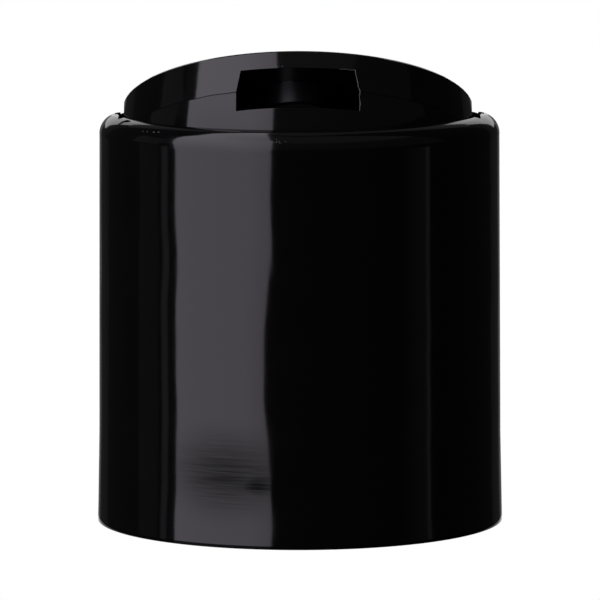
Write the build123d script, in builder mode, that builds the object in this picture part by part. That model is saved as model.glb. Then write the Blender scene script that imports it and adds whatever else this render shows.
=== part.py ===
from build123d import *
from math import cos, radians, sin, sqrt, tan
import os

# Disc top dispensing cap in two mouldings: a screw-on body, and a disc that rocks in it.
# Z is up, the body stands on Z = 0 and the pouring slot faces -Y. All lengths are in millimetres.

# Body: outside
body_height = 27.6
foot_radius = 13.7
foot_flare = 0.12
flare_height = 6.0
skirt_draft = 0.12
shoulder_radius = 1.4

# Body: the rim falls away behind the pivots, so that a finger can reach the back of the disc
rim_slope_angle = 5.5
rim_slope_blend = 10.0

# Body: well for the disc, above the deck
well_wall = 1.18
well_depth = 8.8
deck_thickness = 1.2

# Body: threaded neck bore below the deck, drawn at the root of its thread
neck_wall = 1.53
neck_mouth_chamfer = 0.45
neck_corner_chamfer = 1.0
seal_inset = 1.75
seal_width = 0.8
seal_depth = 0.8

# Body: discharge turret, which clears the foot of the disc's front wall
turret_wall = 0.5
turret_clearance = 0.35

# Pivot
pivot_below_rim = 2.3
trunnion_radius = 1.0
trunnion_hold = 0.6
pivot_clearance = 0.05
end_play = 0.12

# Lead-in for the trunnions: a flat-sided relief in the mouth of the well, and a tapering groove
relief_clearance = 0.42
relief_end_clearance = 0.62
relief_below_pivot = 1.6
groove_width = 2.2
groove_depth_at_rim = 0.3
groove_depth_at_socket = 0.12

# Disc
disc_top_height = 2.75
plate_thickness = 1.25
disc_wall = 1.05
swing_clearance = 0.2
flank_inset = 0.6
front_wall_depth = 4.2
wall_step_length = 4.5
wall_step_clearance = 0.15
top_edge_chamfer = 0.12
finger_dish_radius = 7.0
finger_dish_depth = 0.3
finger_dish_margin = 1.56

# Open position, where the back of the disc is stopped by the deck, and the disc leans to one side
open_angle = 24.0
stop_clearance = 0.1
disc_shift = -0.1

# Pouring slot and the channel behind it
slot_width = 8.1
slot_top_width = 7.5
slot_bottom_height = -1.3
channel_wall = 0.8

# Sealing plug, cored from below
plug_radius = 2.4
plug_wall = 0.7
plug_entry = 1.1
plug_tip_chamfer = 0.2
plug_clearance = 0.2
turret_gap = 0.5

# Edges are picked by their radius, to within this
match_tolerance = 0.001

# Worked out from the sizes above. The disc's own sizes are about its pivot
flare_radius = foot_radius - foot_flare
skirt_top_radius = flare_radius - skirt_draft
rim_back_height = body_height - foot_radius * tan(radians(rim_slope_angle))
well_radius = skirt_top_radius - well_wall
deck_top = body_height - well_depth
neck_depth = deck_top - deck_thickness
neck_root_radius = flare_radius - neck_wall
seal_outer_radius = neck_root_radius - seal_inset
pivot_height = body_height - pivot_below_rim
sweep_radius = well_radius - swing_clearance
flank_distance = well_radius - flank_inset
flank_half_length = sqrt(sweep_radius**2 - flank_distance**2)
relief_reach = flank_distance + relief_clearance
trunnion_reach = relief_reach + trunnion_hold
disc_top_radius = sqrt(sweep_radius**2 - disc_top_height**2)
plate_underside = disc_top_height - plate_thickness
back_drop = sweep_radius * sin(radians(open_angle)) + stop_clearance
back_wall_depth = (pivot_height - deck_top - back_drop) / cos(radians(open_angle))
inner_sweep = sweep_radius - disc_wall
wall_foot_radius = sqrt(sweep_radius**2 - front_wall_depth**2)
hollow_foot_radius = sqrt(inner_sweep**2 - front_wall_depth**2)
orifice_radius = plug_radius + plug_clearance
turret_radius = orifice_radius + turret_wall
orifice_offset = hollow_foot_radius - turret_clearance - turret_radius
turret_top = pivot_height + plate_underside - turret_gap
plug_tip_height = plate_underside - turret_gap - plug_entry
channel_inner = slot_width / 2
channel_outer = channel_inner + channel_wall
wall_step_end = channel_outer - orifice_offset + wall_step_clearance
wall_step_start = wall_step_end - wall_step_length
finger_dish_centre = disc_top_radius - finger_dish_margin - finger_dish_radius
finger_dish_sphere = (finger_dish_radius**2 + finger_dish_depth**2) / (2 * finger_dish_depth)
beyond = 2 * foot_radius


def circles(part, radius):
    """The part's circular edges of this radius, lowest first."""
    rings = part.edges().filter_by(GeomType.CIRCLE)
    return rings.filter_by(lambda ring: abs(ring.radius - radius) < match_tolerance).sort_by(Axis.Z)


# Body: outer form, revolved, then trimmed along the sloping rim and rounded into a shoulder
with BuildPart() as body:
    with BuildSketch(Plane.XZ) as skirt_section:
        with BuildLine():
            Polyline(
                (0, 0),
                (foot_radius, 0),
                (flare_radius, flare_height),
                (skirt_top_radius, body_height),
                (0, body_height),
                close=True,
            )
        make_face()
    revolve(axis=Axis.Z)

    with BuildSketch(Plane.YZ) as above_rim:
        with BuildLine():
            rim_line = FilletPolyline(
                (-beyond, body_height),
                (0, body_height),
                (beyond, body_height - beyond * tan(radians(rim_slope_angle))),
                radius=rim_slope_blend,
            )
            Polyline(rim_line @ 1, (beyond, beyond + body_height), (-beyond, beyond + body_height), rim_line @ 0)
        make_face()
    extrude(amount=beyond, both=True, mode=Mode.SUBTRACT)

    rim_edges = body.edges().filter_by(GeomType.LINE, reverse=True)
    rim_edges = rim_edges.filter_by_position(Axis.Z, rim_back_height - shoulder_radius, body_height)
    fillet(rim_edges, radius=shoulder_radius)

    # Well for the disc, open at the top
    with BuildSketch(Plane.XY.offset(deck_top)) as well_floor:
        Circle(well_radius)
    extrude(amount=body_height, mode=Mode.SUBTRACT)

    # Neck bore, open at the bottom, with a V-shaped seal bead that bears on the bottle's lip
    with BuildSketch(Plane.XY) as neck_mouth:
        Circle(neck_root_radius)
    extrude(amount=neck_depth, mode=Mode.SUBTRACT)
    chamfer(circles(body, neck_root_radius)[-1], length=neck_corner_chamfer)
    chamfer(circles(body, neck_root_radius)[0], length=neck_mouth_chamfer)
    with BuildSketch(Plane.XZ) as seal_section:
        with BuildLine():
            Polyline(
                (seal_outer_radius, neck_depth),
                (seal_outer_radius - seal_width / 2, neck_depth - seal_depth),
                (seal_outer_radius - seal_width, neck_depth),
                close=True,
            )
        make_face()
    revolve(axis=Axis.Z)

    # Discharge turret on the deck, bored through into the neck
    with BuildSketch(Plane.XY.offset(deck_top)) as turret_section:
        with Locations((0, -orifice_offset)):
            Circle(turret_radius)
    extrude(amount=turret_top - deck_top)
    with BuildSketch(Plane.XY.offset(neck_depth)) as orifice_section:
        with Locations((0, -orifice_offset)):
            Circle(orifice_radius)
    extrude(amount=body_height, mode=Mode.SUBTRACT)

    # Flat-sided relief across the mouth of the well
    with BuildSketch(Plane.XY.offset(pivot_height - relief_below_pivot)) as relief_section:
        Rectangle(2 * relief_reach, 2 * (flank_half_length + relief_end_clearance))
    extrude(amount=body_height, mode=Mode.SUBTRACT)

    # Lead-in grooves, which grow shallower toward the sockets
    with BuildSketch(Plane.XZ) as groove_section:
        with BuildLine():
            Polyline(
                (0, pivot_height),
                (relief_reach + groove_depth_at_socket, pivot_height),
                (relief_reach + groove_depth_at_rim, body_height),
                (relief_reach + groove_depth_at_rim, body_height + shoulder_radius),
                (0, body_height + shoulder_radius),
                close=True,
            )
        make_face()
        mirror(about=Plane.YZ)
    extrude(amount=groove_width / 2, both=True, mode=Mode.SUBTRACT)

    # Sockets for the trunnions
    with BuildSketch(Plane.YZ) as socket_section:
        with Locations((0, pivot_height)):
            Circle(trunnion_radius + pivot_clearance)
    extrude(amount=trunnion_reach + end_play, both=True, mode=Mode.SUBTRACT)

body.part.label = "body"


# Disc, built closed about its pivot: the hollow under its plate, less the channel walls and the plug
with BuildPart() as disc_hollow:
    with BuildSketch(Plane.XZ) as hollow_section:
        with BuildLine():
            hollow_side = Polyline(
                (0, -front_wall_depth),
                (0, plate_underside),
                (disc_top_radius - disc_wall, plate_underside),
                (inner_sweep, 0),
            )
            hollow_curve = RadiusArc(hollow_side @ 1, (hollow_foot_radius, -front_wall_depth), inner_sweep)
            Line(hollow_curve @ 1, hollow_side @ 0)
        make_face()
    revolve(axis=Axis.Z)
    split(bisect_by=Plane.YZ.offset(flank_distance - disc_wall), keep=Keep.BOTTOM)
    split(bisect_by=Plane.YZ.offset(disc_wall - flank_distance), keep=Keep.TOP)

    # Channel walls, round behind the plug and straight to the slot
    with BuildSketch(Plane.XY.offset(plate_underside)) as channel_section:
        with Locations((0, -orifice_offset)):
            Circle(channel_outer)
            Rectangle(2 * channel_outer, sweep_radius, align=(Align.CENTER, Align.MAX))
            Circle(channel_inner, mode=Mode.SUBTRACT)
            Rectangle(2 * channel_inner, sweep_radius, align=(Align.CENTER, Align.MAX), mode=Mode.SUBTRACT)
    extrude(amount=-beyond, mode=Mode.SUBTRACT)

    with BuildSketch(Plane.XY.offset(plug_tip_height)) as plug_section:
        with Locations((0, -orifice_offset)):
            Circle(plug_radius)
    extrude(amount=beyond, mode=Mode.SUBTRACT)

# Disc: plate with a deep front wall and a shallow back wall
with BuildPart() as closed_disc:
    with BuildSketch(Plane.XZ) as disc_section:
        with BuildLine():
            side = Polyline(
                (0, -front_wall_depth),
                (0, disc_top_height),
                (disc_top_radius, disc_top_height),
                (sweep_radius, 0),
            )
            curve = RadiusArc(side @ 1, (wall_foot_radius, -front_wall_depth), sweep_radius)
            Line(curve @ 1, side @ 0)
        make_face()
        chamfer(disc_section.vertices().group_by(Axis.Y)[-1].sort_by(Axis.X)[-1], length=top_edge_chamfer)
    revolve(axis=Axis.Z)
    split(bisect_by=Plane.YZ.offset(flank_distance), keep=Keep.BOTTOM)
    split(bisect_by=Plane.YZ.offset(-flank_distance), keep=Keep.TOP)
    add(disc_hollow.part, mode=Mode.SUBTRACT)

    # The walls step up behind the channel, so that the back can swing down to the deck
    with BuildSketch(Plane.YZ) as below_back:
        with BuildLine():
            Polyline(
                (wall_step_start, -front_wall_depth),
                (wall_step_end, -back_wall_depth),
                (beyond, -back_wall_depth),
                (beyond, -beyond),
                (wall_step_start, -beyond),
                close=True,
            )
        make_face()
    extrude(amount=beyond, both=True, mode=Mode.SUBTRACT)

    # Shallow dish for the finger, toward the back of the plate. Its sphere's poles lie along Y, clear of it
    finger_dish_place = (0, finger_dish_centre, disc_top_height - finger_dish_depth + finger_dish_sphere)
    with Locations(Location(finger_dish_place, (90, 0, 0))):
        Sphere(finger_dish_sphere, mode=Mode.SUBTRACT)

    # Core of the plug
    with BuildSketch(Plane.XY.offset(plug_tip_height)) as core_section:
        with Locations((0, -orifice_offset)):
            Circle(plug_radius - plug_wall)
    extrude(amount=plate_underside - plug_tip_height, mode=Mode.SUBTRACT)
    chamfer(circles(closed_disc, plug_radius)[0], length=plug_tip_chamfer)

    # Pouring slot, which narrows above the parting line at the height of the pivot
    with BuildSketch(Plane.XZ.offset(orifice_offset + plug_radius)) as slot_section:
        with BuildLine():
            Polyline(
                (slot_width / 2, slot_bottom_height),
                (slot_width / 2, 0),
                (slot_top_width / 2, plate_underside),
                (-slot_top_width / 2, plate_underside),
                (-slot_width / 2, 0),
                (-slot_width / 2, slot_bottom_height),
                close=True,
            )
        make_face()
    extrude(amount=beyond, mode=Mode.SUBTRACT)

    # Trunnions
    with BuildSketch(*[plane.offset(flank_distance - disc_wall) for plane in (Plane.YZ, -Plane.YZ)]):
        Circle(trunnion_radius)
    extrude(amount=trunnion_reach - flank_distance + disc_wall)

# The disc stands open
open_plane = Plane(
    origin=(disc_shift, 0, pivot_height),
    x_dir=(1, 0, 0),
    z_dir=(0, sin(radians(open_angle)), cos(radians(open_angle))),
)
with BuildPart(open_plane) as disc:
    add(closed_disc.part)
disc.part.label = "disc"

os.makedirs("parts", exist_ok=True)
export_step(body.part, "parts/body.step")
export_step(disc.part, "parts/disc.step")
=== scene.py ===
from math import atan, atan2, cos, degrees, hypot, pi, radians, sin

import bmesh
import bpy
from mathutils import Matrix, Vector


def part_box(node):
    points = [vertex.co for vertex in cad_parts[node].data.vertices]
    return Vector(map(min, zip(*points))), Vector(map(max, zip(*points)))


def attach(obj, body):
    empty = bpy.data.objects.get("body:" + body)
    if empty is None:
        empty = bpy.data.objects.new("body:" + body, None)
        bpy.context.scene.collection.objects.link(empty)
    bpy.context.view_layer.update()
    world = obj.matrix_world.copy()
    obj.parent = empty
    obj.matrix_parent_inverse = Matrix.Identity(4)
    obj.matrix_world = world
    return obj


# A black disc top cap, standing open on a white set. The scene is in metres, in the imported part's frame:
# Z is up, the pouring slot faces -Y, and the camera looks along +Y from in front.

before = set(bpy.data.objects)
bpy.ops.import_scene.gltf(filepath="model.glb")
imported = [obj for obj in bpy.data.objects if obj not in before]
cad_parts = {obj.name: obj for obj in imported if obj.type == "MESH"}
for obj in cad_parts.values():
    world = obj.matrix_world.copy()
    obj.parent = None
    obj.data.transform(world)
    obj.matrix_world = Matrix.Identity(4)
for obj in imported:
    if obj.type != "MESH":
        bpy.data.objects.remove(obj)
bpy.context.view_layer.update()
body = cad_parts["body"]
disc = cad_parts["disc"]

MM = 0.001

# Camera: its distance from the cap's axis, how steeply it looks down, and the point that it aims at
CAMERA_DISTANCE = 438.85 * MM
CAMERA_PITCH = radians(7.22)
CAMERA_ROLL = radians(-0.09)
CAMERA_AIM = Vector((0.02, 0, 14.84)) * MM
CAMERA_CLIP_START, CAMERA_CLIP_END = 0.01, 10
SENSOR_WIDTH = 36.0
LENS = 389.9

# Backdrop and floor: pure white where they are seen, and dimmer as a source of light
BACKDROP_WHITE = (1, 1, 1, 1)
BACKDROP_FILL = 0.6
FLOOR_PAPER = (0.85, 0.85, 0.85, 1)
FLOOR_MARGIN = 0.3 * MM
FLOOR_DROP = 0.02 * MM

# Directions in the set are seen from the cap, in degrees: azimuth from the camera's side round to the left,
# and elevation. Dark flags stand all round, apart from an opening on the white backdrop behind the cap
SET_RADIUS = 0.9
SET_STEPS = 96
OPENING_HALF_WIDTH = 9
OPENING_TOP = 30
FLAG_GLOW = 0.012

# Lighter tones of the flags: glow, nearest and farthest angle from the back, and lowest elevation
FLAG_TONES = {
    "opening_fringe": (0.12, 0, 18, -90),
    "back_wall": (0.025, 18, 36, -90),
    "window_above_wall": (0.8, 9, 26, 7),
    "back_ceiling": (0.08, 0, 35, 30),
    "front_low_ceiling": (0.038, 85, 180, 15),
    "front_ceiling": (0.09, 85, 180, 48),
}

# Big softbox to the left and overhead: its right and left edge, from its foot up and over to its far end
SOFTBOX_DISTANCE = 0.8
SOFTBOX_RIGHT_EDGE = ((16.5, -16), (16.3, 10), (16.5, 27), (20.5, 55), (27, 63), (90, 81), (168, 64))
SOFTBOX_LEFT_EDGE = ((73.5, -16), (76.0, 10), (81, 25), (86, 36), (93, 47), (101, 59), (135, 64))
SOFTBOX_STEPS = 20
SOFTBOX_TINT = (1.0, 0.94, 1.06, 1)

# Its cloth glows more strongly up to a height. A band beside its right edge keeps only a share of the glow
SOFTBOX_GLOW_LOW, SOFTBOX_GLOW_HIGH = 1.45, 2.0
SOFTBOX_HEIGHT = 0.7 * SOFTBOX_DISTANCE
SOFTBOX_SHARE_AT_EDGE = 0.82
SOFTBOX_BAND_START, SOFTBOX_BAND_END = -0.25 * SOFTBOX_DISTANCE, -0.5 * SOFTBOX_DISTANCE

# Narrow panels that show as upright stripes in the skirt: azimuth range, elevation range, glow
WALL_BOTTOM, WALL_TOP = -20, 6
PANELS = {
    "left_frame": (80.5, 85.0, WALL_BOTTOM, WALL_TOP, 0.15),
    "left_wall": (88.0, 104.0, WALL_BOTTOM, WALL_TOP, 0.04),
    "left_upper_wall": (88.0, 112.0, 8, 30, 0.07),
    "right_frame": (-79.5, -77.0, WALL_BOTTOM, WALL_TOP, 0.13),
}
PANEL_STEPS = 9

# Right-hand wall, which brightens toward the right-hand frame
RIGHT_WALL_START, RIGHT_WALL_END = -60.0, -77.0
RIGHT_WALL_STEPS = 7
RIGHT_WALL_GLOW = 0.05

# Black plastic: darkest and lightest colour, scale of its blotches, and its grain from smoothest to roughest
BLACK_DARKEST = (0.0020, 0.0020, 0.0022, 1)
BLACK_LIGHTEST = (0.0030, 0.0030, 0.0033, 1)
BLOTCH_SCALE = 300
GRAIN_SCALE, GRAIN_DETAIL = 900, 4
GRAIN_SMOOTHEST, GRAIN_ROUGHEST = 0.05, 0.11
PLASTIC_IOR = 1.5
POLISHED_SHINE = 0.5
EDGE_ROUNDING = 0.04 * MM

# Waves of the moulded skin
WAVE_SCALE = (70, 70, 150)
WAVE_PLACE = (0.3, 0.0, 0.2)
WAVE_DETAIL = 1
WAVE_HEIGHT = 0.16 * MM

# Low swell in the skirt, left of its front: centre, reach and height
SWELL_CENTRE = Vector((-3.8, -13.0, 12.0)) * MM
SWELL_REACH = Vector((2.8, 6.0, 10.0)) * MM
SWELL_HEIGHT = 0.06 * MM

# Dullness is the share of the shine that a mark takes away.
# Marks low on the skirt, to the left of its front: centre, reach and dullness
SCUFFS = (
    (Vector((-4.9, -12.7, 4.9)) * MM, Vector((6.5, 5.0, 4.0)) * MM, 0.8),
    (Vector((-2.8, -13.3, 4.25)) * MM, Vector((2.8, 2.6, 1.45)) * MM, 0.95),
)

# Fine level streaks in the marks: the range of noise that they span, and how much of a mark always stays
STREAK_SCALE = (250, 250, 9000)
STREAK_LOW, STREAK_HIGH = 0.3, 0.6
STREAK_LEAST = 0.6

# Painted shade along the foot's edge: a low band whose shine is cut, so that its reflection goes dark
FOOT_EDGE_HEIGHT = 0.22 * MM
FOOT_EDGE_PAINTED_SHADE = 0.93

# The disc's pivot, and its lean in this pose
PIVOT = Vector((-0.1, 0, 25.3)) * MM
OPEN_ANGLE = radians(24)
DISC_ACROSS = Vector((1, 0, 0))
DISC_UP = Vector((0, sin(OPEN_ANGLE), cos(OPEN_ANGLE)))
DISC_BACK = Vector((0, cos(OPEN_ANGLE), -sin(OPEN_ANGLE)))

# Parting line of the disc's mould: its width, how far it strays and how finely
PARTING_WIDTH = 0.07 * MM
PARTING_WANDER = 0.06 * MM
PARTING_SCALE = 700
PARTING_DULLNESS = 0.8

# The disc's inside is rougher, as it isn't polished, and its shine is cut as painted shade in the hollow:
# how far it reaches from the pivot, up and to the sides
INSIDE_REACH, INSIDE_TOP, INSIDE_SIDE = 11.8 * MM, 1.48 * MM, 11.4 * MM
INSIDE_ROUGHNESS = 0.38
INSIDE_PAINTED_SHADE = 0.4

# Pale colour of the dust, which it has under any light, and of the slot's flash, where it is a painted
# highlight
DUST_AND_HIGHLIGHT_COLOUR = (0.12, 0.11, 0.10, 1)
DUST_AND_HIGHLIGHT_ROUGHNESS = 0.5

# Screw thread in the neck bore, and the share of a turn over which it runs in and out
THREAD_PITCH = 3.175 * MM
THREAD_TURNS = 1.5
THREAD_ROOT = 12.05 * MM
THREAD_DEPTH = 0.95 * MM
THREAD_START_HEIGHT = 5.0 * MM
THREAD_STEPS = 48
THREAD_RUN_IN = 1 / 12

# Its profile: outward as a share of the depth, and up as a share of the pitch
THREAD_PROFILE = ((0.1, -0.34), (-1.0, -0.12), (-1.0, 0.12), (0.1, 0.34))

# Flash along the slot's right edge, in the pale colour as a painted highlight on the edge, as millimetres
# across, back and up from the pivot on the disc
SLOT_FLASH_HIGHLIGHT = (
    (2.75, -11.62, 1.47), (3.1, -11.55, 1.53), (3.45, -11.43, 1.49), (3.78, -11.34, 1.52),
    (3.83, -11.37, 1.1), (3.94, -11.36, 0.7), (3.97, -11.42, 0.35), (4.1, -11.42, 0.02),
    (4.04, -11.41, -0.4), (4.1, -11.38, -0.8), (4.05, -11.36, -1.32),
)
FLASH_THICKNESS = 0.05 * MM

# Dark shred that lies on the rim's left end, in millimetres
RIM_SHRED = (
    (-12.06, -4.90, 27.27), (-11.86, -4.98, 27.37), (-11.68, -5.02, 27.47), (-11.50, -5.20, 27.52),
    (-11.25, -5.50, 27.56),
)
SHRED_THICKNESS = 0.14 * MM

# Flash and shred thin out at every second point and at both ends, to these shares of their thickness
STRAND_THIN = 0.7
STRAND_END = 0.4
STRAND_SIDES = 4

# Grains of dust on the shoulder and on the disc, in millimetres
SHOULDER_DUST = (
    (-10.34, -8.10, 27.10), (-10.03, -8.43, 27.12), (-9.62, -8.90, 27.13), (-9.56, -8.97, 27.13),
    (-9.31, -9.18, 27.16), (-9.25, -9.24, 27.16), (-1.50, -13.18, 26.89), (-1.34, -13.17, 26.93),
    (-1.27, -13.24, 26.84), (-0.90, -13.19, 26.93), (-1.47, -13.05, 27.05),
)
DISC_DUST = ((-1.10, -10.17, 31.58),)
DUST_SIZE = 0.09 * MM


# Shapes
def direction(azimuth, elevation):
    """Unit vector for an azimuth and an elevation."""
    a, e = radians(azimuth), radians(elevation)
    return Vector((-sin(a) * cos(e), -cos(a) * cos(e), sin(e)))


def link_mesh(mesh, material):
    """A new object of the scene, named like its mesh."""
    mesh.materials.append(material)
    made = bpy.data.objects.new(mesh.name, mesh)
    bpy.context.scene.collection.objects.link(made)
    return made


def new_object(name, vertices, faces, material):
    mesh = bpy.data.meshes.new(name)
    mesh.from_pydata(vertices, [], faces)
    mesh.validate()
    return link_mesh(mesh, material)


def grid_faces(steps):
    """Faces of a grid with the same number of vertices both ways."""
    return [
        (r * steps + c, r * steps + c + 1, (r + 1) * steps + c + 1, (r + 1) * steps + c)
        for r in range(steps - 1)
        for c in range(steps - 1)
    ]


def tube_faces(rings, sides):
    """Faces along a tube, whose rings of vertices follow each other."""
    faces = []
    for ring in range(rings - 1):
        for side in range(sides):
            a = ring * sides + side
            b = ring * sides + (side + 1) % sides
            faces.append((a, b, b + sides, a + sides))
    return faces


# Nodes of the materials
def new_material(name):
    material = bpy.data.materials.new(name)
    material.use_nodes = True
    material.node_tree.nodes.clear()
    return material


def add_node(tree, kind, inputs):
    """A node whose inputs are set to plain values, or linked to the outputs of other nodes."""
    node = tree.nodes.new(kind)
    for name, value in inputs.items():
        if isinstance(value, bpy.types.NodeSocket):
            tree.links.new(value, node.inputs[name])
        else:
            node.inputs[name].default_value = value
    return node


def math_node(tree, operation, first, second=0):
    node = add_node(tree, "ShaderNodeMath", {0: first, 1: second})
    node.operation = operation
    return node.outputs["Value"]


def vector_measure(tree, operation, first, second=(0, 0, 0)):
    """A number that is measured on vectors, such as a length or a distance."""
    node = add_node(tree, "ShaderNodeVectorMath", {0: first, 1: second})
    node.operation = operation
    return node.outputs["Value"]


def remap(tree, value, limits):
    return add_node(tree, "ShaderNodeMapRange", {"Value": value, **limits}).outputs["Result"]


def noise(tree, place, scale, detail=2):
    inputs = {"Vector": place, "Scale": scale, "Detail": detail}
    return add_node(tree, "ShaderNodeTexNoise", inputs).outputs["Fac"]


def stretched(tree, place, scale, location=(0, 0, 0)):
    inputs = {"Vector": place, "Location": location, "Scale": scale}
    return add_node(tree, "ShaderNodeMapping", inputs).outputs["Vector"]


def object_place(tree):
    return tree.nodes.new("ShaderNodeTexCoord").outputs["Object"]


def height_of(tree, place):
    return add_node(tree, "ShaderNodeSeparateXYZ", {"Vector": place}).outputs["Z"]


def end_in_surface(tree, surface):
    add_node(tree, "ShaderNodeOutputMaterial", {"Surface": surface})


def seen_white(tree):
    """1 for the rays that should meet white paper: from the camera, and by reflection or transmission."""
    path = tree.nodes.new("ShaderNodeLightPath")
    seen = math_node(tree, "MAXIMUM", path.outputs["Is Camera Ray"], path.outputs["Is Glossy Ray"])
    return math_node(tree, "MAXIMUM", seen, path.outputs["Is Transmission Ray"])


def glow(name, strength):
    """A light source of the set, in one even tone."""
    material = new_material(name)
    emission = add_node(material.node_tree, "ShaderNodeEmission", {"Strength": strength})
    end_in_surface(material.node_tree, emission.outputs["Emission"])
    return material


# The cap's materials
def spot(tree, place, centre, reach):
    """1 at a centre, smoothly down to 0 at a reach that is set for each axis."""
    into_spot = add_node(tree, "ShaderNodeMapping", {"Vector": place, "Location": centre, "Scale": reach})
    into_spot.vector_type = "TEXTURE"
    away = vector_measure(tree, "LENGTH", into_spot.outputs["Vector"])
    fade = add_node(tree, "ShaderNodeMapRange", {"Value": away, "From Min": 1.0, "From Max": 0.0})
    fade.interpolation_type = "SMOOTHSTEP"
    return fade.outputs["Result"]


def scuff(tree, place, centre, reach, dullness):
    """Dullness of a mark that is broken up by fine level streaks."""
    streak_noise = noise(tree, stretched(tree, place, STREAK_SCALE), 1.0)
    streak_limits = {"From Min": STREAK_LOW, "From Max": STREAK_HIGH, "To Min": STREAK_LEAST}
    streaks = remap(tree, streak_noise, streak_limits)
    mark = math_node(tree, "MULTIPLY", spot(tree, place, centre, reach), dullness)
    return math_node(tree, "MULTIPLY", mark, streaks)


def foot_edge_painted_shade(tree, place):
    """Painted shade: dullness of a low band along the edge that the cap stands on, which darkens its
    reflection.
    """
    within = math_node(tree, "LESS_THAN", height_of(tree, place), FOOT_EDGE_HEIGHT)
    return math_node(tree, "MULTIPLY", within, FOOT_EDGE_PAINTED_SHADE)


def from_pivot(tree, place, axis):
    """Distance from the disc's pivot along an axis."""
    return math_node(tree, "SUBTRACT", vector_measure(tree, "DOT_PRODUCT", place, axis), PIVOT.dot(axis))


def inside_mask(tree, place):
    """1 on the walls of the disc's hollow and channel, and 0 on its outside."""
    away = vector_measure(tree, "DISTANCE", place, PIVOT)
    within = math_node(tree, "LESS_THAN", away, INSIDE_REACH)
    below = math_node(tree, "LESS_THAN", from_pivot(tree, place, DISC_UP), INSIDE_TOP)
    aside = math_node(tree, "ABSOLUTE", from_pivot(tree, place, DISC_ACROSS))
    between = math_node(tree, "LESS_THAN", aside, INSIDE_SIDE)
    return math_node(tree, "MULTIPLY", within, math_node(tree, "MULTIPLY", below, between))


def parting_line(tree, place):
    """Dullness of a broken hairline round the disc's wall, where its mould parted at the pivot's height."""
    wander = math_node(tree, "MULTIPLY", noise(tree, place, PARTING_SCALE), 2 * PARTING_WANDER)
    strayed = math_node(tree, "ADD", from_pivot(tree, place, DISC_UP), wander)
    off_line = math_node(tree, "ABSOLUTE", math_node(tree, "SUBTRACT", strayed, PARTING_WANDER))
    on_line = math_node(tree, "LESS_THAN", off_line, PARTING_WIDTH / 2)
    return math_node(tree, "MULTIPLY", on_line, PARTING_DULLNESS)


def skin_colour(tree, place):
    ramp = add_node(tree, "ShaderNodeValToRGB", {"Fac": noise(tree, place, BLOTCH_SCALE)})
    ramp.color_ramp.elements[0].color = BLACK_DARKEST
    ramp.color_ramp.elements[1].color = BLACK_LIGHTEST
    return ramp.outputs["Color"]


def skin_normal(tree, relief):
    """Normal of a skin with slightly rounded edges. The relief is given as a share of the waves' height."""
    rounding = add_node(tree, "ShaderNodeBevel", {"Radius": EDGE_ROUNDING})
    bump_inputs = {
        "Strength": 1.0,
        "Distance": WAVE_HEIGHT,
        "Height": relief,
        "Normal": rounding.outputs["Normal"],
    }
    return add_node(tree, "ShaderNodeBump", bump_inputs).outputs["Normal"]


def black_plastic(name):
    """Glossy black moulded plastic: mirror-like, with the unevenness and the marks of a moulded skin, and
    painted shade on the foot's edge and in the disc's hollow.
    """
    material = new_material(name)
    tree = material.node_tree
    place = object_place(tree)
    grain = noise(tree, place, GRAIN_SCALE, GRAIN_DETAIL)
    roughness = remap(tree, grain, {"To Min": GRAIN_SMOOTHEST, "To Max": GRAIN_ROUGHEST})
    relief = noise(tree, stretched(tree, place, WAVE_SCALE, WAVE_PLACE), 1.0, WAVE_DETAIL)

    if name == "body_plastic":
        # The foot's edge gets painted shade: its shine is cut so that its reflection goes dark
        dullness = foot_edge_painted_shade(tree, place)
        for mark in SCUFFS:
            dullness = math_node(tree, "MAXIMUM", dullness, scuff(tree, place, *mark))
        swell = spot(tree, place, SWELL_CENTRE, SWELL_REACH)
        swell_relief = math_node(tree, "MULTIPLY", swell, SWELL_HEIGHT / WAVE_HEIGHT)
        relief = math_node(tree, "ADD", relief, swell_relief)
    else:
        inside = inside_mask(tree, place)
        # Painted shade in the disc's hollow: its shine is cut, which darkens its reflection
        inside_painted_shade = math_node(tree, "MULTIPLY", inside, INSIDE_PAINTED_SHADE)
        dullness = math_node(tree, "MAXIMUM", parting_line(tree, place), inside_painted_shade)
        unpolished = math_node(tree, "MULTIPLY", inside, INSIDE_ROUGHNESS)
        roughness = math_node(tree, "MAXIMUM", roughness, unpolished)

    shader_inputs = {
        "Base Color": skin_colour(tree, place),
        "Roughness": roughness,
        "IOR": PLASTIC_IOR,
        "Specular IOR Level": remap(tree, dullness, {"To Min": POLISHED_SHINE, "To Max": 0.0}),
        "Normal": skin_normal(tree, relief),
    }
    shader = add_node(tree, "ShaderNodeBsdfPrincipled", shader_inputs)
    end_in_surface(tree, shader.outputs["BSDF"])
    return material


def dust_and_highlight_plastic():
    """Dust, which looks pale because it scatters the light, and the slot's torn flash, whose pale colour is
    a painted highlight.
    """
    material = new_material("dust_and_highlight_plastic")
    inputs = {"Base Color": DUST_AND_HIGHLIGHT_COLOUR, "Roughness": DUST_AND_HIGHLIGHT_ROUGHNESS}
    shader = add_node(material.node_tree, "ShaderNodeBsdfPrincipled", inputs)
    end_in_surface(material.node_tree, shader.outputs["BSDF"])
    return material


# Camera and set
def place_camera():
    camera = bpy.data.objects.new("camera", bpy.data.cameras.new("camera"))
    bpy.context.scene.collection.objects.link(camera)
    bpy.context.scene.camera = camera
    camera.data.sensor_width = SENSOR_WIDTH
    camera.data.lens = LENS
    camera.data.clip_start = CAMERA_CLIP_START
    camera.data.clip_end = CAMERA_CLIP_END
    toward_camera = Vector((0, -cos(CAMERA_PITCH), sin(CAMERA_PITCH)))
    camera.location = CAMERA_AIM + toward_camera * CAMERA_DISTANCE
    camera.rotation_mode = "QUATERNION"
    upright = (-toward_camera).to_track_quat("-Z", "Y")
    camera.rotation_quaternion = upright @ Matrix.Rotation(CAMERA_ROLL, 3, "Z").to_quaternion()


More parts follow.
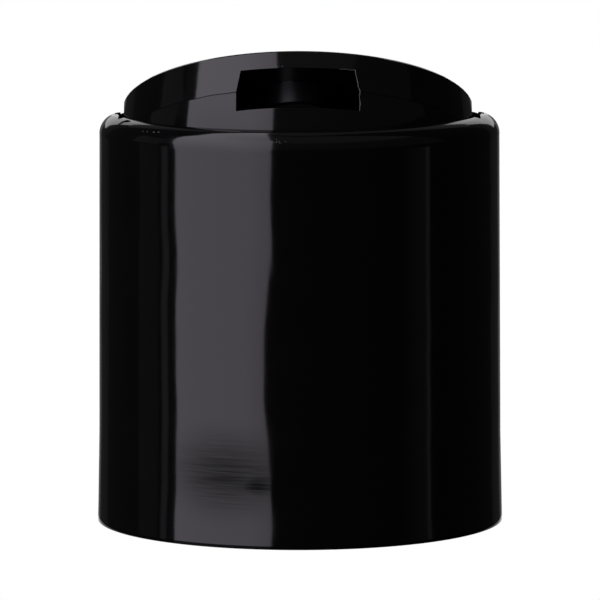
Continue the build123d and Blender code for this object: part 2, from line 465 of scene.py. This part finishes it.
def hang_backdrop():
    world = bpy.data.worlds.new("backdrop")
    bpy.context.scene.world = world
    world.use_nodes = True
    tree = world.node_tree
    tree.nodes.clear()
    strength = remap(tree, seen_white(tree), {"To Min": BACKDROP_FILL, "To Max": 1.0})
    backdrop = add_node(tree, "ShaderNodeBackground", {"Color": BACKDROP_WHITE, "Strength": strength})
    add_node(tree, "ShaderNodeOutputWorld", {"Surface": backdrop.outputs["Background"]})


def floor_paper():
    """White paper, which the camera and reflections see as white as the backdrop."""
    material = new_material("floor_paper")
    tree = material.node_tree
    diffuse = add_node(tree, "ShaderNodeBsdfDiffuse", {"Color": FLOOR_PAPER})
    emission = add_node(tree, "ShaderNodeEmission", {})
    mix_inputs = {"Fac": seen_white(tree), 1: diffuse.outputs["BSDF"], 2: emission.outputs["Emission"]}
    mix = add_node(tree, "ShaderNodeMixShader", mix_inputs)
    end_in_surface(tree, mix.outputs["Shader"])
    return material


def add_floor():
    """A round pad of paper, hardly wider than the foot, so that the skirt doesn't mirror it."""
    _, body_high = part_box("body")
    radius = body_high.x + FLOOR_MARGIN
    vertices = []
    for step in range(SET_STEPS):
        angle = 2 * pi * step / SET_STEPS
        vertices.append((sin(angle) * radius, cos(angle) * radius, -FLOOR_DROP))
    floor = new_object("floor", vertices, [tuple(range(SET_STEPS))[::-1]], floor_paper())


def flag_tone(from_back, elevation):
    """Number of the flags' tone at an angle from the back and an elevation, or None in the opening."""
    if from_back < OPENING_HALF_WIDTH and elevation < OPENING_TOP:
        return None
    tone = 0
    for number, (_, nearest, farthest, lowest) in enumerate(FLAG_TONES.values(), start=1):
        if nearest <= from_back <= farthest and elevation > lowest:
            tone = number
    return tone


def add_flags():
    """A dark dome in several tones, with an opening behind the cap."""
    rings = SET_STEPS // 2 - 1
    vertices = [
        direction(360 * c / SET_STEPS, -90 + 180 * r / (rings + 1)) * SET_RADIUS
        for r in range(1, rings + 1)
        for c in range(SET_STEPS)
    ]
    faces = []
    tones = []
    for face in tube_faces(rings, SET_STEPS):
        centre = sum((vertices[corner] for corner in face), Vector()) / len(face)
        from_back = degrees(abs(atan2(centre.x, centre.y)))
        elevation = degrees(atan(centre.z / hypot(centre.x, centre.y)))
        tone = flag_tone(from_back, elevation)
        if tone is not None:
            faces.append(face)
            tones.append(tone)
    faces += [tuple(range(SET_STEPS)), tuple(range((rings - 1) * SET_STEPS, rings * SET_STEPS))]
    tones += [0, 0]
    flags = new_object("flags", vertices, faces, glow("flag", FLAG_GLOW))
    for name, tone in FLAG_TONES.items():
        flags.data.materials.append(glow(name, tone[0]))
    flags.data.polygons.foreach_set("material_index", tones)
    flags.visible_camera = False


def softbox_cloth():
    """White cloth that glows more strongly toward its top, and less beside its right edge."""
    material = new_material("softbox_cloth")
    tree = material.node_tree
    axes = add_node(tree, "ShaderNodeSeparateXYZ", {"Vector": object_place(tree)})
    height_limits = {"From Max": SOFTBOX_HEIGHT, "To Min": SOFTBOX_GLOW_LOW, "To Max": SOFTBOX_GLOW_HIGH}
    by_height = remap(tree, axes.outputs["Z"], height_limits)
    band_limits = {
        "From Min": SOFTBOX_BAND_START,
        "From Max": SOFTBOX_BAND_END,
        "To Min": SOFTBOX_SHARE_AT_EDGE,
    }
    beside_edge = remap(tree, axes.outputs["X"], band_limits)
    strength = math_node(tree, "MULTIPLY", by_height, beside_edge)
    emission = add_node(tree, "ShaderNodeEmission", {"Color": SOFTBOX_TINT, "Strength": strength})
    end_in_surface(tree, emission.outputs["Emission"])
    return material


def edge_point(edge, along):
    """Direction at a share of the way along an edge of the softbox."""
    place = along * (len(edge) - 1)
    last = min(int(place), len(edge) - 2)
    return direction(*edge[last]).lerp(direction(*edge[last + 1]), place - last)


def add_softbox():
    shares = [step / (SOFTBOX_STEPS - 1) for step in range(SOFTBOX_STEPS)]
    vertices = []
    for up in shares:
        right = edge_point(SOFTBOX_RIGHT_EDGE, up)
        left = edge_point(SOFTBOX_LEFT_EDGE, up)
        vertices += [right.lerp(left, across).normalized() * SOFTBOX_DISTANCE for across in shares]
    softbox = new_object("softbox", vertices, grid_faces(SOFTBOX_STEPS), softbox_cloth())
    softbox.visible_camera = False


def add_panel(name, start, end, low, high, strength):
    shares = [step / (PANEL_STEPS - 1) for step in range(PANEL_STEPS)]
    vertices = [
        direction(start + (end - start) * across, low + (high - low) * up) * SOFTBOX_DISTANCE
        for up in shares
        for across in shares
    ]
    panel = new_object(name, vertices, grid_faces(PANEL_STEPS), glow(name, strength))
    panel.visible_camera = False


def add_right_wall():
    width = (RIGHT_WALL_END - RIGHT_WALL_START) / RIGHT_WALL_STEPS
    for step in range(RIGHT_WALL_STEPS):
        start = RIGHT_WALL_START + step * width
        strength = FLAG_GLOW + (RIGHT_WALL_GLOW - FLAG_GLOW) * (step + 1) / RIGHT_WALL_STEPS
        add_panel(f"right_wall_{step}", start, start + width, WALL_BOTTOM, WALL_TOP, strength)


# Pieces that the scene adds to the cap
def add_thread(material):
    """Screw thread: a trapezoid swept round the neck bore, whose depth grows from nothing at both ends."""
    count = int(THREAD_STEPS * THREAD_TURNS)
    run_in_steps = THREAD_STEPS * THREAD_RUN_IN
    vertices = []
    for step in range(count + 1):
        turn = step / THREAD_STEPS
        angle = 2 * pi * turn
        height = THREAD_START_HEIGHT + THREAD_PITCH * turn
        run_in = min(1, step / run_in_steps, (count - step) / run_in_steps)
        for outward, up in THREAD_PROFILE:
            share = outward if outward > 0 else outward * run_in
            radius = THREAD_ROOT + share * THREAD_DEPTH
            vertices.append((radius * cos(angle), radius * sin(angle), height + up * THREAD_PITCH))
    sides = len(THREAD_PROFILE)
    faces = tube_faces(count + 1, sides)
    faces.append(tuple(range(sides))[::-1])
    faces.append(tuple(range(count * sides, (count + 1) * sides)))
    thread = new_object("neck_thread", vertices, faces, material)
    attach(thread, "cap")


def add_strand(name, points, thickness, material, rides_on):
    """A thin uneven strand through the points, which tapers at both of its ends."""
    count = len(points)
    vertices = []
    for index, point in enumerate(points):
        share = 1 if index % 2 else STRAND_THIN
        if index in (0, count - 1):
            share = STRAND_END
        for corner in range(STRAND_SIDES):
            angle = 2 * pi * corner / STRAND_SIDES
            vertices.append(point + Vector((cos(angle), 0, sin(angle))) * thickness * share / 2)
    faces = tube_faces(count, STRAND_SIDES)
    faces.append(tuple(range(STRAND_SIDES)))
    faces.append(tuple(range((count - 1) * STRAND_SIDES, count * STRAND_SIDES))[::-1])
    strand = new_object(name, vertices, faces, material)
    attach(strand, rides_on)


def add_dust(name, places, material, rides_on):
    mesh = bpy.data.meshes.new(name)
    maker = bmesh.new()
    for place in places:
        at_place = Matrix.Translation(Vector(place) * MM)
        bmesh.ops.create_icosphere(maker, subdivisions=1, radius=DUST_SIZE / 2, matrix=at_place)
    maker.to_mesh(mesh)
    maker.free()
    dust = link_mesh(mesh, material)
    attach(dust, rides_on)


def on_disc(across, back, up):
    return PIVOT + (DISC_ACROSS * across + DISC_BACK * back + DISC_UP * up) * MM


body_plastic = black_plastic("body_plastic")
disc_plastic = black_plastic("disc_plastic")
# Pale material: the colour of the dust, and a painted highlight on the slot's flash
dust_and_highlight_material = dust_and_highlight_plastic()
for solid, material in ((body, body_plastic), (disc, disc_plastic)):
    solid.data.materials.clear()
    solid.data.materials.append(material)

place_camera()
hang_backdrop()
add_floor()
add_flags()
add_softbox()
for name, panel in PANELS.items():
    add_panel(name, *panel)
add_right_wall()

add_thread(body_plastic)
# The slot's flash carries a painted highlight in the pale colour
flash_highlight_points = [on_disc(*point) for point in SLOT_FLASH_HIGHLIGHT]
add_strand("slot_flash_highlight", flash_highlight_points, FLASH_THICKNESS, dust_and_highlight_material, "actuator")
shred_points = [Vector(point) * MM for point in RIM_SHRED]
add_strand("rim_shred", shred_points, SHRED_THICKNESS, body_plastic, "cap")
add_dust("shoulder_dust", SHOULDER_DUST, dust_and_highlight_material, "cap")
add_dust("disc_dust", DISC_DUST, dust_and_highlight_material, "actuator")

bpy.context.scene.view_settings.view_transform = "Standard"
